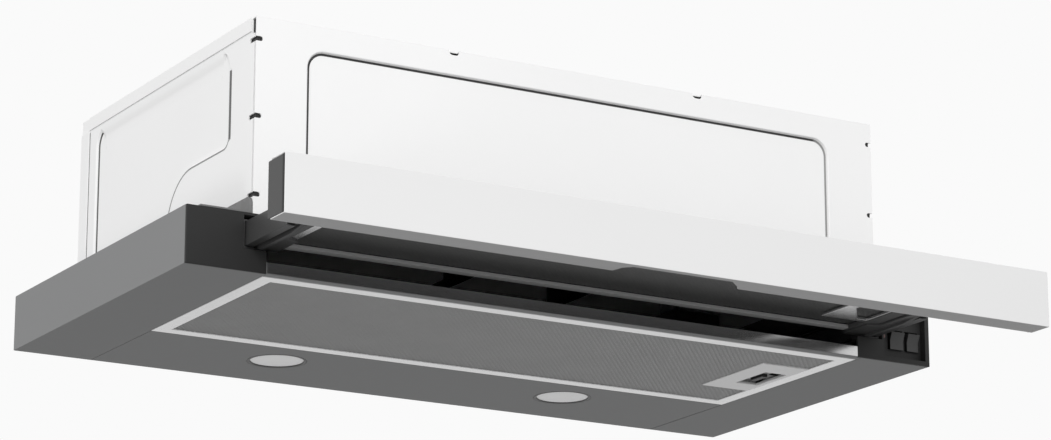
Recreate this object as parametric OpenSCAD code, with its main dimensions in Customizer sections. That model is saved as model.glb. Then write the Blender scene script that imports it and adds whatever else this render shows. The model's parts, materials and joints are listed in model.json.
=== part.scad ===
// Telescopic range hood for the bottom of a wall cabinet.
// Millimetres, +Z up, +X to the user's right, -Y towards the user.
// The origin is under the middle of the hood's box, with the drawer pulled out.
// Modules are written in hood coordinates: Y is 0 at the base's front face.
// Drawer modules have Y 0 at the back of the front panel.

/* [Base] */
// Width of the base
base_w = 600; // [590:1:610]
// Depth of the base, from front to wall
base_d = 290; // [288:1:296]
// Height of the base
base_h = 40; // [40:0.5:42]
// Thickness of the sheet metal
sheet = 1; // [0.8:0.1:1]

/* [Casing] */
// Width of the motor casing
casing_w = 504; // [500:1:508]
// Height of the whole hood without its collar
hood_h = 178; // [178:1:184]
// Depth of the pressed fields in the casing
field_depth = 2; // [1:0.1:2]

/* [Drawer] */
// How far the drawer comes out
travel = 122; // [100:1:124]
// Width of the front panel
panel_w = 598; // [588:1:600]
// Thickness of the front panel
panel_t = 20; // [20:1:24]

/* [Outlet] */
// Outer radius of the outlet collar
collar_r = 60; // [59:0.5:61]
// Height of the collar above the casing
collar_h = 30; // [24:1:32]

/* [Filter] */
// Width of the border of the grease filter
border = 11; // [9:1:12]
// Thickness of the grease filter
filter_t = 9; // [8:0.5:9]

/* [Hidden] */
$fn = 48;

// Main planes
half_w = base_w / 2;
half_casing = casing_w / 2;
front_y = (travel + panel_t - base_d) / 2;
roof_z = hood_h - sheet;
over = 1;

// Underside opening and its filter
side_w = 60;
open_x = half_w - side_w;
gap = 0.3;
filter_y = [8, 185.5];
flange_h = 10;
air_border = [35, 30, 20];
hook_y = [34, 148];
hook_w = 14;
hook_slot = 18;
latch_y = 98;
latch_plate_x = [189, open_x - gap - border];
latch_plate_y = [53, 135];
latch_box_x = [200, open_x - gap - border];
latch_box_y = [66, 124];

latch_slot_x = [206.6, 225];
latch_slot_y = [76, 115.6];
bolt_x = [210, open_x + 3];
bolt_z = [3, 6];
bolt_half = 5;
hook_t = 1.2;

// Casing: relief slots that straddle its folds, its pressed fields, and the laps of its sheets
relief_z = [53.5, 108, 162];
relief_x = 100;
relief_h = 4;
relief_d = 6;
front_field_x = 212.5;
front_field_z = [52, 159.5];
front_field_r = 12;
side_field_y = [41.5, 263];
side_field_z = [46, 165.5];
side_field_r = 14;
shoulder_y = 139.5;
shoulder_z = 97.5;
shoulder_r = 41.5;
lap_t = 0.8;
lap_w = 14;
lap_h = 9.5;

// Front blocks and the cut-out that the drawer's arms run through
face_t = 2;
block_wall = 1.6;
block_gap = 1.2;
block_d = 24;
left_block_w = 59;
control_block_w = 64;
arm_gate_x = half_w - 42;
arm_gate_z = [15.5, 38];
lip_h = 8;

// Control recess, seen in the control block
recess_x = [259.5, 296.5];
recess_z = [3.5, 36.5];
recess_d = 6;
rocker_h = 14;
rocker_z = 18;
rocker_y = recess_d + 3;
rocker_tilt = 11;
rocker_pin_r = 1.2;
rocker_proud = 5;
speed_x = [267.5, 280];
light_x = [282.5, 293.5];
pilot = [262.8, 20];
pilot_r = 1.8;
switch_d = 30;
switch_cup_d = 18;

// Slide rails: outer, middle and inner member nested on each side
rail_z = [16.5, 36];
rail_x = [248, 257];
rail_gap = 0.3;
outer_rail_l = 240;
mid_rail_l = 180;
inner_rail_l = 220;
rail_start = 3;
ear_y = [40, 200];
ear_l = 16;
ear_z = [23, 25];

// Lamps
lamp_x = 121;
lamp_y = 225.5;
lens_r = 19.7;
lens_z = 0.4;
lens_t = 2.4;
bezel_r = 22;
lip_w = 2;
can_h = 18;
can_t = 1.5;
driver = [70, 30, 21];
driver_ear = 10;

// Blower: shaft along X, one wheel in each volute
blower_y = 85;
blower_z = 108;
volute_x = [58, 124];
wheel_x = [63, 119];
wheel_r = 46;
hub_r = 13;
inlet_r = 36;
scroll_wall = 2;
scroll_r = [50, 64];
scroll_turn = 285;
cutoff_angle = 15;
mouth_y = 150;
mouth_z = 121;
shaft_r = 4;
running = 0.05;
stator_r = 38;
stator_x = 42;
core_r = 23;
core_x = 27;
boss_r = 12;
boss_l = 8;
blades = 24;
blade_l = 8;
disc_t = 1.5;

// Parts beside the blower
strap_w = 12;
strap_t = 1.5;
upright_t = 2;
capacitor_at = [222, 60];
capacitor_r = 15;
capacitor_h = 62;
terminal_x = [208, 248];
terminal_y = [200, 280];
terminal_h = 35;
terminal_t = 2;
gland_at = [190, 250];
gland_r = 8;
gland_nut_r = 11;
cable_r = 4;

// Outlet
collar_y = 212;
collar_t = 2;
collar_flange_r = 71;
collar_flange_t = 1.5;
collar_screw_r = 66.5;
ledge_w = 3;
ledge_t = 2.4;
plenum_z = 100;
plenum_d = 124;
duct_t = 1.5;
damper_z = hood_h + 10;
damper_pin_r = 1.5;
knuckle_r = 3;
flap_r = collar_r - collar_t - 1.5;
flap_t = 1.2;
rear_knuckles = [[-50, -30.5], [-10, 10], [30.5, 50]];
front_knuckles = [[-30, -10.5], [10.5, 30]];

// Drawer
drawer_filter_x = 237;
drawer_filter_y = [0, 126];
drawer_filter_z = [20, 28];
drawer_border = 8;
drawer_plate_x = [189, 229];
drawer_plate_y = [18, 100];
drawer_slot = [[198, 26], [225, 26], [225, 95], [217, 95], [198, 69]];
arm_x = [243.6, 247];
arm_z = [16, 36.2];
arm_l = 140;
ledge_x = 229;
arm_front_z = 26;
arm_taper_y = 77;
ledge_y = [101, 130];
ledge_z = 18;
pack_inset = 2;
top_plate_d = 150;
notch_x = [-48, 51];
notch_d = 14.5;
pocket_h = 18.5;
pocket_t = 2.5;
cap_t = 1.5;
cap_back = 4;
clip_l = 10.5;
clip_t = 1.4;
carrier_t = 2;
carrier_x = 285;

// Cabinet bracket
bracket_l = 200;
bracket_h = 12.6;
bracket_t = 1.2;
bracket_w = 38;
bracket_r = 7;
screw_row = [40, 160];
screw_inset = 25;
wood_screw_r = 2.6;

// Sheet metal screws, as [x, y] places on the casing top
screw_r = 1.5;
screw_head_r = 3.2;
screw_head_h = 1.8;
roof_screws = [for (x = [-238, 238], y = [12, 278]) [x, y]];
collar_screws =
    [for (a = [45:90:315]) [collar_screw_r * cos(a), collar_y + collar_screw_r * sin(a)]];

// A block between two corners, each axis given as [low, high]
module span(x, y, z)
    translate([x[0], y[0], z[0]])
        cube([x[1] - x[0], y[1] - y[0], z[1] - z[0]]);

// An outline drawn in Y and Z, made solid between two X planes
module along_x(x)
    translate([x[0], 0, 0]) rotate([90, 0, 90]) linear_extrude(x[1] - x[0]) children();

// An outline drawn in X and Z, made solid between two Y planes
module along_y(y)
    translate([0, y[1], 0]) rotate([90, 0, 0]) linear_extrude(y[1] - y[0]) children();

// An outline drawn in X and Y, made solid between two Z planes
module along_z(z)
    translate([0, 0, z[0]]) linear_extrude(z[1] - z[0]) children();

// A rod along X
module rod_x(x, r)
    translate([x[0], 0, 0]) rotate([0, 90, 0]) cylinder(h = x[1] - x[0], r = r);

// A rectangle with round corners, as an outline
module round_rect(x, y, r) {
    translate([x[0] + r, y[0]]) square([x[1] - x[0] - 2 * r, y[1] - y[0]]);
    translate([x[0], y[0] + r]) square([x[1] - x[0], y[1] - y[0] - 2 * r]);
    for (cx = [x[0] + r, x[1] - r], cy = [y[0] + r, y[1] - r])
        translate([cx, cy]) circle(r = r);
}

// A rectangle with another one taken out of it, as an outline
module frame_outline(x, y, b) {
    difference() {
        translate([x[0], y[0]]) square([x[1] - x[0], y[1] - y[0]]);
        translate([x[0] + b[0], y[0] + b[1]])
            square([x[1] - x[0] - 2 * b[0], y[1] - y[0] - b[1] - b[2]]);
    }
}

module in_hood() translate([0, front_y, 0]) children();
module on_drawer() translate([0, front_y - travel, 0]) children();
module on_mid_rail() translate([0, front_y - travel / 2, 0]) children();
module other_side() mirror([1, 0, 0]) children();

// Points of an arc from angle a to angle b
function arc(c, r, a, b, n) =
    [for (i = [0:n]) c + r * [cos(a + (b - a) * i / n), sin(a + (b - a) * i / n)]];

// A corner of an outline rounded by r and grown by g. inward points from the corner to the inside
function corner(at, inward, r, g, turn) = arc(at + r * inward, r + g, turn[0], turn[1], 6);

/* ---- base ---- */

// Folded sheet side, drawn on the left, with its outer wall, underside strip and top flange
module side_member() {
    strip = [-half_w, -open_x - gap];
    depth = [face_t, base_d - sheet];
    difference() {
        union() {
            span([-half_w, -half_w + sheet], depth, [0, base_h]);
            span(strip, depth, [0, sheet]);
            span([-half_w, -open_x], depth, [base_h - sheet, base_h]);
            span([strip[1] - sheet, strip[1]], [filter_y[0], base_d - sheet], [0, flange_h]);
        }
        for (y = screw_row)
            translate([-half_w + screw_inset, y, base_h - sheet - over])
                cylinder(h = sheet + 2 * over, r = wood_screw_r);
    }
}

module left_side_member() color([0.52, 0.53, 0.54]) in_hood()
    difference() {
        side_member();
        for (y = hook_y)
            span([-open_x - 3, -open_x + over], [y - 2, y - 2 + hook_slot], [sheet, flange_h - 2]);
    }

module right_side_member() color([0.52, 0.53, 0.54]) in_hood()
    difference() {
        other_side() side_member();
        span([open_x - over, bolt_x[1]], [latch_y - bolt_half - 2, latch_y + bolt_half + 2],
            bolt_z + [-0.4, 0.4]);
    }

module front_rail() color([0.24, 0.24, 0.25]) in_hood() {
    x = [-half_w + left_block_w, half_w - control_block_w];
    span([-open_x, open_x], [face_t, filter_y[0] - gap], [0, sheet]);
    span(x, [0, face_t], [0, sheet]);
    span(x, [0, sheet], [sheet, lip_h]);
}

module back_wall() color([0.52, 0.53, 0.54]) in_hood()
    span([-half_w, half_w], [base_d - sheet, base_d], [0, base_h]);

// Carries the casing, open in the middle for the air, with borders at its sides, front and back
module base_top_plate() color([0.5, 0.51, 0.52]) in_hood()
    along_z([base_h - sheet, base_h])
        difference() {
            frame_outline([-open_x, open_x], [0, base_d - sheet], air_border);
            translate([half_w - control_block_w, -over]) square([side_w, face_t + over]);
        }

module light_panel() color([0.5, 0.51, 0.52]) in_hood() {
    x = [-open_x + gap, open_x - gap];
    difference() {
        union() {
            span(x, [filter_y[1] + gap, base_d - sheet], [0, sheet]);
            span(x, [filter_y[1] + gap, filter_y[1] + gap + sheet], [0, flange_h + 2]);
        }
        for (s = [-1, 1])
            translate([s * lamp_x, lamp_y, -over]) cylinder(h = 2 * over + sheet, r = bezel_r);
    }
}

// Plastic face that closes the front of a side member, drawn on the left
module block_face(w) {
    difference() {
        span([-half_w, -half_w + w], [0, face_t], [0, base_h]);
        span([-arm_gate_x, -half_w + w + over], [-over, face_t + over], arm_gate_z);
    }
}

module left_end_block() color([0.2, 0.2, 0.21]) in_hood() {
    block_face(left_block_w);
    difference() {
        plug_x = [-half_w + block_gap, -arm_gate_x - sheet];
        plug_z = [block_gap, base_h - block_gap];
        span(plug_x, [face_t, block_d], plug_z);
        span(plug_x + [block_wall, -block_wall], [face_t, block_d + over],
            plug_z + [block_wall, -block_wall]);
    }
}

// Places where the control face is cut for a rocker
module rocker_windows(y, grow)
    for (x = [speed_x, light_x])
        span([x[0] - grow, x[1] + grow], y,
            [rocker_z - rocker_h / 2 - grow, rocker_z + rocker_h / 2 + grow]);

module control_block() color([0.2, 0.2, 0.21]) in_hood()
    difference() {
        union() {
            other_side() block_face(control_block_w);
            span([recess_x[0] - block_wall, half_w - block_gap], [face_t, recess_d + block_wall],
                [block_gap, base_h - block_gap]);
        }
        span(recess_x, [-over, recess_d], recess_z);
        rocker_windows([recess_d - over, recess_d + 2], 0.4);
        translate([pilot[0], recess_d - over, pilot[1]])
            rotate([-90, 0, 0]) cylinder(h = 4, r = pilot_r);
    }

/* ---- casing ---- */

// Relief slots that straddle the folds of the casing
module fold_reliefs() {
    for (s = [-1, 1], z = relief_z)
        span([s * half_casing - relief_d, s * half_casing + relief_d], [-over, relief_d],
            [z - relief_h / 2, z + relief_h / 2]);
    for (s = [-1, 1])
        span([s * relief_x - relief_h, s * relief_x + relief_h], [-over, 3],
            [hood_h - 3, hood_h + over]);
}

module casing_front() color([0.93, 0.93, 0.93]) in_hood() {
    field_x = [-front_field_x, front_field_x];
    difference() {
        union() {
            span([-half_casing, half_casing], [0, sheet], [base_h, roof_z]);
            along_y([0, sheet + field_depth])
                round_rect(field_x - [sheet, -sheet], front_field_z - [sheet, -sheet],
                    front_field_r + sheet);
        }
        along_y([-over, field_depth]) round_rect(field_x, front_field_z, front_field_r);
        fold_reliefs();
    }
}

// Outline of the pressed field in a casing side, grown by g: it steps down behind a round shoulder
function side_field(g) = concat(
    corner([side_field_y[0], shoulder_z], [1, 1], 6, g, [270, 180]),
    corner([side_field_y[0], side_field_z[1]], [1, -1], side_field_r, g, [180, 90]),
    corner([side_field_y[1], side_field_z[1]], [-1, -1], side_field_r, g, [90, 0]),
    corner([side_field_y[1], side_field_z[0]], [-1, 1], 10, g, [0, -90]),
    corner([shoulder_y, side_field_z[0]], [1, 1], 5, g, [270, 180]),
    arc([shoulder_y, shoulder_z] - shoulder_r * [1, 1], shoulder_r - g, 0, 90, 12));

// Side sheet, drawn on the left
module casing_side() {
    difference() {
        union() {
            span([-half_casing, -half_casing + sheet], [sheet, base_d - sheet], [base_h, roof_z]);
            along_x([-half_casing, -half_casing + sheet + field_depth])
                polygon(side_field(sheet));
        }
        along_x([-half_casing - over, -half_casing + field_depth]) polygon(side_field(0));
        fold_reliefs();
    }
}
module casing_left() color([0.9, 0.9, 0.9]) in_hood() casing_side();
module casing_right() color([0.9, 0.9, 0.9]) in_hood() other_side() casing_side();

module casing_back() color([0.9, 0.9, 0.9]) in_hood() {
    span([-half_casing, half_casing], [base_d - sheet, base_d], [base_h, roof_z]);
    for (s = [0, 1])
        mirror([s, 0, 0])
            span([half_casing, half_casing + lap_t], [base_d - lap_w, base_d],
                [base_h + sheet, hood_h - lap_h - 0.5]);
}

module casing_top() color([0.9, 0.9, 0.9]) in_hood()
    difference() {
        union() {
            span([-half_casing, half_casing], [0, base_d], [roof_z, hood_h]);
            for (s = [0, 1])
                mirror([s, 0, 0])
                    span([half_casing, half_casing + lap_t], [relief_d + 0.5, base_d - lap_w],
                        [hood_h - lap_h, hood_h]);
        }
        translate([0, collar_y, roof_z - over])
            cylinder(h = sheet + 2 * over, r = collar_r - collar_t, $fn = 96);
        for (p = concat(roof_screws, collar_screws))
            translate([p[0], p[1], roof_z - over]) cylinder(h = sheet + 2 * over, r = screw_r);
        translate([gland_at[0], gland_at[1], roof_z - over])
            cylinder(h = sheet + 2 * over, r = gland_r);
        fold_reliefs();
    }

// Angle that screws up into the cabinet's bottom, drawn on the left
module bracket() {
    y = [0, bracket_l];
    edge = half_casing + bracket_t;
    difference() {
        span([-half_casing - bracket_w, -half_casing], y, [base_h, base_h + bracket_t]);
        for (row = screw_row)
            translate([-half_w + screw_inset, row, base_h - over])
                cylinder(h = bracket_t + 2 * over, r = wood_screw_r);
    }
    along_x([-edge, -half_casing]) {
        difference() {
            translate([0, base_h + bracket_t]) square([bracket_l, bracket_h - bracket_t]);
            translate([-over, base_h + bracket_h - bracket_r])
                difference() {
                    square([bracket_r + over, bracket_r + over]);
                    translate([bracket_r + over, 0]) circle(r = bracket_r);
                }
        }
    }
}
module left_bracket() color([0.55, 0.55, 0.56]) in_hood() bracket();
module right_bracket() color([0.55, 0.55, 0.56]) in_hood() other_side() bracket();

/* ---- slide rails ---- */

// C section along Y, open towards the middle of the hood or away from it
module channel(x, y, z, web_out) {
    web = web_out ? [x[0], x[0] + sheet] : [x[1] - sheet, x[1]];
    span(web, y, z);
    span(x, y, [z[0], z[0] + sheet]);
    span(x, y, [z[1] - sheet, z[1]]);
}
module outer_rail()
    channel([-rail_x[1], -rail_x[0]], [rail_start, rail_start + outer_rail_l], rail_z, true);
module mid_rail() {
    inset = sheet + rail_gap;
    channel([-rail_x[1] + inset, -rail_x[0] - sheet], [rail_start, rail_start + mid_rail_l],
        [rail_z[0] + inset, rail_z[1] - inset], true);
}
module inner_rail() {
    inset = 2 * (sheet + rail_gap);
    channel([-rail_x[1] + inset, -arm_x[1]], [0, inner_rail_l],
        [rail_z[0] + inset, rail_z[1] - inset], false);
}
// Bent ears that hold an outer rail to the side wall
module rail_ears()
    for (y = ear_y)
        span([-half_w + sheet, -rail_x[1]], [y, y + ear_l], ear_z);
module left_outer_rail() color([0.7, 0.72, 0.74]) in_hood() {
    outer_rail();
    rail_ears();
}
module right_outer_rail() color([0.7, 0.72, 0.74]) in_hood() other_side() {
    outer_rail();
    rail_ears();
}
module left_mid_rail() color([0.7, 0.72, 0.74]) on_mid_rail() mid_rail();
module right_mid_rail() color([0.7, 0.72, 0.74]) on_mid_rail() other_side() mid_rail();
module left_inner_rail() color([0.7, 0.72, 0.74]) on_drawer() inner_rail();
module right_inner_rail() color([0.7, 0.72, 0.74]) on_drawer() other_side() inner_rail();

/* ---- lamps ---- */

module at_lamps() for (s = [-1, 1]) translate([s * lamp_x, lamp_y, 0]) children();

module lamp_bezels() color([0.25, 0.25, 0.26]) in_hood() at_lamps() {
    lip_z = sheet + 0.6;
    difference() {
        union() {
            cylinder(h = lip_z, r = bezel_r);
            translate([0, 0, lip_z]) cylinder(h = lens_z + lens_t - lip_z, r = bezel_r + lip_w);
        }
        translate([0, 0, -over]) cylinder(h = lens_t + 2 * over, r = lens_r);
    }
}
module lamp_lenses() color([0.95, 0.95, 0.93]) in_hood() at_lamps()
    translate([0, 0, lens_z]) cylinder(h = lens_t, r = lens_r);
module lamp_housings() color([0.3, 0.3, 0.3]) in_hood() at_lamps()
    translate([0, 0, lens_z + lens_t])
        difference() {
            cylinder(h = can_h, r = bezel_r);
            translate([0, 0, -over]) cylinder(h = can_h - can_t + over, r = bezel_r - can_t);
        }
module led_driver() color([0.9, 0.9, 0.9]) in_hood() {
    half = driver[0] / 2;
    y = [base_d - 55, base_d - 55 + driver[1]];
    span([-half, half], y, [sheet, sheet + driver[2]]);
    for (x = [[-half - driver_ear, -half], [half, half + driver_ear]])
        span(x, y + [9, -9], [sheet, sheet + 2]);
}

/* ---- blower ---- */

// Spiral wall of a volute from its cutoff round to its mouth, grown by g
function scroll(g) = concat(
    [for (i = [0:30])
        let (t = i / 30, a = cutoff_angle - scroll_turn * t,
             r = g + scroll_r[0] + (scroll_r[1] - scroll_r[0]) * t)
        [blower_y + r * cos(a), blower_z + r * sin(a)]],
    [[mouth_y, blower_z + scroll_r[1] + g], [mouth_y, mouth_z - g]]);

module volute() {
    wall = volute_x;
    difference() {
        along_x(wall) polygon(scroll(scroll_wall));
        along_x(wall + [duct_t, -duct_t]) {
            polygon(scroll(0));
            translate([mouth_y - 12, mouth_z])
                square([12 + over, blower_z + scroll_r[1] - mouth_z]);
        }
        translate([0, blower_y, blower_z]) rod_x([wall[0] - over, wall[1] + over], inlet_r);
    }
}
module right_volute() color([0.15, 0.15, 0.16]) in_hood() volute();
module left_volute() color([0.15, 0.15, 0.16]) in_hood() other_side() volute();

// Box that joins both volutes to the outlet
module plenum() color([0.18, 0.18, 0.19]) in_hood() {
    wall = duct_t;
    x = [-volute_x[1], volute_x[1]];
    y = [mouth_y, mouth_y + plenum_d];
    difference() {
        span(x, y, [plenum_z, roof_z]);
        span(x + [wall, -wall], y + [wall, -wall], [plenum_z + wall, roof_z - wall]);
        for (s = [0, 1])
            mirror([s, 0, 0])
                span(volute_x + [wall, -wall], [y[0] - over, y[0] + wall + over],
                    [mouth_z, blower_z + scroll_r[1]]);
        translate([0, collar_y, roof_z - wall - over])
            cylinder(h = 2 * wall + over, r = collar_r - collar_t, $fn = 96);
    }
}

// Wheel with forward curved blades between two shroud rings, on a disc with a hub
module wheel() {
    back = wheel_x[0] + 26;
    difference() {
        union() {
            rod_x([back, back + disc_t], wheel_r);
            rod_x([back - 10, back + 14], hub_r);
            for (x = [wheel_x[0], wheel_x[1] - disc_t])
                difference() {
                    rod_x([x, x + disc_t], wheel_r);
                    rod_x([x - over, x + disc_t + over], wheel_r - blade_l - 1);
                }
            for (i = [0:blades - 1])
                rotate([i * 360 / blades, 0, 0])
                    translate([wheel_x[0], wheel_r - blade_l - 0.5, 0])
                        rotate([24, 0, 0])
                            cube([wheel_x[1] - wheel_x[0], blade_l, 1]);
        }
        rod_x([back - 10 - over, back + 14 + over], shaft_r);
    }
}
module right_impeller() color([0.2, 0.2, 0.22]) in_hood()
    translate([0, blower_y, blower_z]) wheel();
module left_impeller() color([0.2, 0.2, 0.22]) in_hood()
    translate([0, blower_y, blower_z]) other_side() wheel();

module motor_rotor() color([0.75, 0.75, 0.77]) in_hood()
    translate([0, blower_y, blower_z]) {
        rod_x([-wheel_x[1] + 10, wheel_x[1] - 10], shaft_r);
        rod_x([-core_x, core_x], core_r);
    }
module motor_stator() color([0.6, 0.61, 0.62]) in_hood()
    translate([0, blower_y, blower_z])
        difference() {
            union() {
                rod_x([-stator_x, stator_x], stator_r);
                rod_x([-stator_x - boss_l, stator_x + boss_l], boss_r);
            }
            rod_x([-core_x - 2, core_x + 2], core_r + 0.5);
            rod_x([-stator_x - boss_l - over, stator_x + boss_l + over], shaft_r + running);
        }

// Two straps over the air opening, each with an upright that holds the motor by its end boss
module motor_bracket() color([0.12, 0.12, 0.12]) in_hood()
    for (s = [0, 1])
        mirror([s, 0, 0])
            difference() {
                union() {
                    span([stator_x, stator_x + strap_w], [6, base_d - 7], [base_h, base_h + strap_t]);
                    span([stator_x, stator_x + upright_t], [blower_y - 30, blower_y + 30],
                        [base_h, blower_z + 25]);
                }
                translate([0, blower_y, blower_z])
                    rod_x([stator_x - over, stator_x + upright_t + over], boss_r);
            }

module capacitor() color([0.85, 0.85, 0.85]) in_hood()
    translate([capacitor_at[0], capacitor_at[1], base_h]) {
        cylinder(h = capacitor_h, r = capacitor_r);
        for (x = [-5, 5]) translate([x, 0, capacitor_h]) cylinder(h = 6, r = 1.5);
    }
module terminal_box() color([0.25, 0.25, 0.26]) in_hood() {
    z = [base_h, base_h + terminal_h];
    cable_y = (terminal_y[0] + terminal_y[1]) / 2;
    difference() {
        span(terminal_x, terminal_y, z);
        span(terminal_x + [terminal_t, -terminal_t], terminal_y + [terminal_t, -terminal_t],
            z + [terminal_t, -terminal_t]);
        span([terminal_x[1] - terminal_t - over, terminal_x[1] + over], [cable_y - 5, cable_y + 5],
            [base_h + 10, base_h + 20]);
    }
}
module cable_gland() color([0.12, 0.12, 0.12]) in_hood()
    translate([gland_at[0], gland_at[1], hood_h])
        difference() {
            union() {
                translate([0, 0, -7]) cylinder(h = 7, r = gland_r);
                cylinder(h = 5, r = gland_nut_r, $fn = 6);
                translate([0, 0, 5]) cylinder(h = 6, r = gland_r);
            }
            translate([0, 0, -7 - over]) cylinder(h = 18 + 2 * over, r = cable_r);
        }

/* ---- outlet ---- */

module outlet_collar() color([0.16, 0.16, 0.17]) in_hood()
    translate([0, collar_y, 0]) {
        inner_r = collar_r - collar_t;
        seat_z = damper_z - flap_t / 2 - 0.2;
        difference() {
            union() {
                translate([0, 0, hood_h]) cylinder(h = collar_h, r = collar_r, $fn = 96);
                translate([0, 0, hood_h])
                    cylinder(h = collar_flange_t, r = collar_flange_r, $fn = 96);
            }
            // the closed flaps lie on the ledge that is left between these three
            translate([0, 0, hood_h - over])
                cylinder(h = seat_z - ledge_t - hood_h + over, r = inner_r, $fn = 96);
            translate([0, 0, hood_h])
                cylinder(h = collar_h + over, r = inner_r - ledge_w, $fn = 96);
            translate([0, 0, seat_z]) cylinder(h = collar_h, r = inner_r, $fn = 96);
            translate([0, 0, damper_z]) rod_x([-collar_r - over, collar_r + over], damper_pin_r);
            for (p = collar_screws)
                translate([p[0], p[1] - collar_y, hood_h - over])
                    cylinder(h = 4, r = screw_r);
        }
    }
module damper_pin() color([0.8, 0.8, 0.8]) in_hood()
    translate([0, collar_y, damper_z]) rod_x([-collar_r, collar_r], damper_pin_r);

// Half disc on the pin, drawn towards +Y, with its knuckles at the given X stretches
module flap(knuckles) {
    difference() {
        union() {
            translate([0, 0, -flap_t / 2])
                difference() {
                    cylinder(h = flap_t, r = flap_r, $fn = 96);
                    span([-flap_r - over, flap_r + over], [-flap_r - over, knuckle_r + 0.3],
                        [-over, flap_t + over]);
                }
            for (k = knuckles) {
                rod_x(k, knuckle_r);
                span(k, [0, knuckle_r + 1], [-flap_t / 2, flap_t / 2]);
            }
        }
        rod_x([-flap_r, flap_r], damper_pin_r + running);
    }
}
module rear_flap() color([0.22, 0.22, 0.23]) in_hood()
    translate([0, collar_y, damper_z]) flap(rear_knuckles);
module front_flap() color([0.22, 0.22, 0.23]) in_hood()
    translate([0, collar_y, damper_z]) mirror([0, 1, 0]) flap(front_knuckles);

module pan_screw(l) {
    cylinder(h = screw_head_h, r = screw_head_r);
    translate([0, 0, -l]) cylinder(h = l, r = screw_r);
}
module screws() color([0.75, 0.75, 0.77]) in_hood() {
    for (p = roof_screws) translate([p[0], p[1], hood_h]) pan_screw(6);
    for (p = collar_screws)
        translate([p[0], p[1], hood_h + collar_flange_t]) pan_screw(collar_flange_t + sheet);
}

/* ---- controls ---- */

// Rocker drawn about its pin: a flat face between two points, tapered to a blunt back
module rocker(x) {
    half = rocker_h / 2 - 0.5;
    middle = -rocker_proud;
    face = middle - (half + 0.5) * tan(rocker_tilt);
    back = 5.5;
    translate([0, rocker_y, rocker_z]) {
        rotate([rocker_tilt, 0, 0])
            along_x(x + [0.4, -0.4])
                polygon([[middle, 0], [face, half], [2, half], [back, 2.5],
                    [back, -2.5], [2, -half], [face, -half]]);
        rod_x(x + [-0.8, 0.8], rocker_pin_r);
    }
}
module speed_rocker() color([0.32, 0.32, 0.33]) in_hood() rocker(speed_x);
module light_rocker() color([0.32, 0.32, 0.33]) in_hood() rocker(light_x);

module switch_bodies() color([0.1, 0.1, 0.1]) in_hood() {
    z = [rocker_z - rocker_h / 2, rocker_z + rocker_h / 2];
    for (x = [speed_x, light_x])
        difference() {
            span(x + [-1.2, 1.2], [recess_d + block_wall, switch_d], z + [-1.2, 1.2]);
            span(x, [recess_d, switch_cup_d], z + [-0.2, 0.2]);
            translate([0, rocker_y, rocker_z]) rod_x(x + [-1, 1], rocker_pin_r + running);
        }
}
module pilot_lamp() color([0.8, 0.3, 0.2]) in_hood()
    translate([pilot[0], recess_d - 0.8, pilot[1]])
        rotate([-90, 0, 0]) cylinder(h = 0.8 + block_wall, r = pilot_r);

/* ---- drawer ---- */

module finger_notch(z)
    along_z(z)
        polygon([[notch_x[0], over], [notch_x[0] + 2, -notch_d + 5], [notch_x[0] + 7, -notch_d],
            [notch_x[1] - 14, -notch_d], [notch_x[1] - 3, -4], [notch_x[1], over]]);

// Folded skin over the panel's whole width: front face with a flange back at its top and bottom
module drawer_front() color([0.92, 0.92, 0.92]) on_drawer() {
    x = [-panel_w / 2, panel_w / 2];
    span(x, [-panel_t, -panel_t + sheet], [0, base_h]);
    span(x, [-panel_t + sheet, 0], [base_h - sheet, base_h]);
    difference() {
        span(x, [-panel_t + sheet, 0], [0, sheet]);
        finger_notch([-over, sheet + over]);
    }
}

// Closes the end of the skin, with two clips that reach in along its flanges
module end_cap() {
    outer = -panel_w / 2;
    y = [-panel_t + sheet, cap_back];
    z = [sheet, base_h - sheet];
    span([outer, outer + cap_t], y, z);
    for (clip_z = [[z[0], z[0] + clip_t], [z[1] - clip_t, z[1]]])
        span([outer + cap_t, outer + cap_t + clip_l], y - [0, cap_back + 3], clip_z);
}
module left_end_cap() color([0.35, 0.35, 0.36]) on_drawer() end_cap();
module right_end_cap() color([0.35, 0.35, 0.36]) on_drawer() other_side() end_cap();

// Closes the back of the panel and carries the arms and the filter
module drawer_carrier() color([0.5, 0.5, 0.5]) on_drawer()
    difference() {
        span([-carrier_x, carrier_x], [-carrier_t, 0], [sheet, base_h - sheet]);
        span(notch_x + [-8, 8], [-carrier_t - over, over], [0, pocket_h + 0.5]);
    }

// Dark pocket for the fingers, above the notch
module grip_insert() color([0.22, 0.22, 0.23]) on_drawer()
    difference() {
        span(notch_x + [-7.5, 7.5], [-panel_t + sheet, 0], [sheet, pocket_h]);
        span(notch_x + [-1, 1], [-notch_d - 0.5, over], [0, pocket_h - pocket_t]);
    }

// Arm that carries the drawer on its rail, lower towards its back, with a ledge under the filter,
// drawn on the left
module arm() {
    ledge = [ledge_z, drawer_filter_z[0]];
    side_x = [-arm_x[0], -drawer_filter_x - 1];
    along_x([-arm_x[1], -arm_x[0]])
        polygon([[0, arm_front_z], [arm_taper_y, arm_z[0]], [arm_l, arm_z[0]], [arm_l, arm_z[1]],
            [0, arm_z[1]]]);
    along_z(ledge)
        polygon([[-arm_x[0], ledge_y[0] - 8], [-ledge_x, ledge_y[0]], [-ledge_x, ledge_y[1]],
            [-arm_x[0], ledge_y[1]]]);
    span(side_x, [0, ledge_y[0] - 4], ledge);
}
module left_arm() color([0.33, 0.33, 0.34]) on_drawer() arm();
module right_arm() color([0.33, 0.33, 0.34]) on_drawer() other_side() arm();

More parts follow.
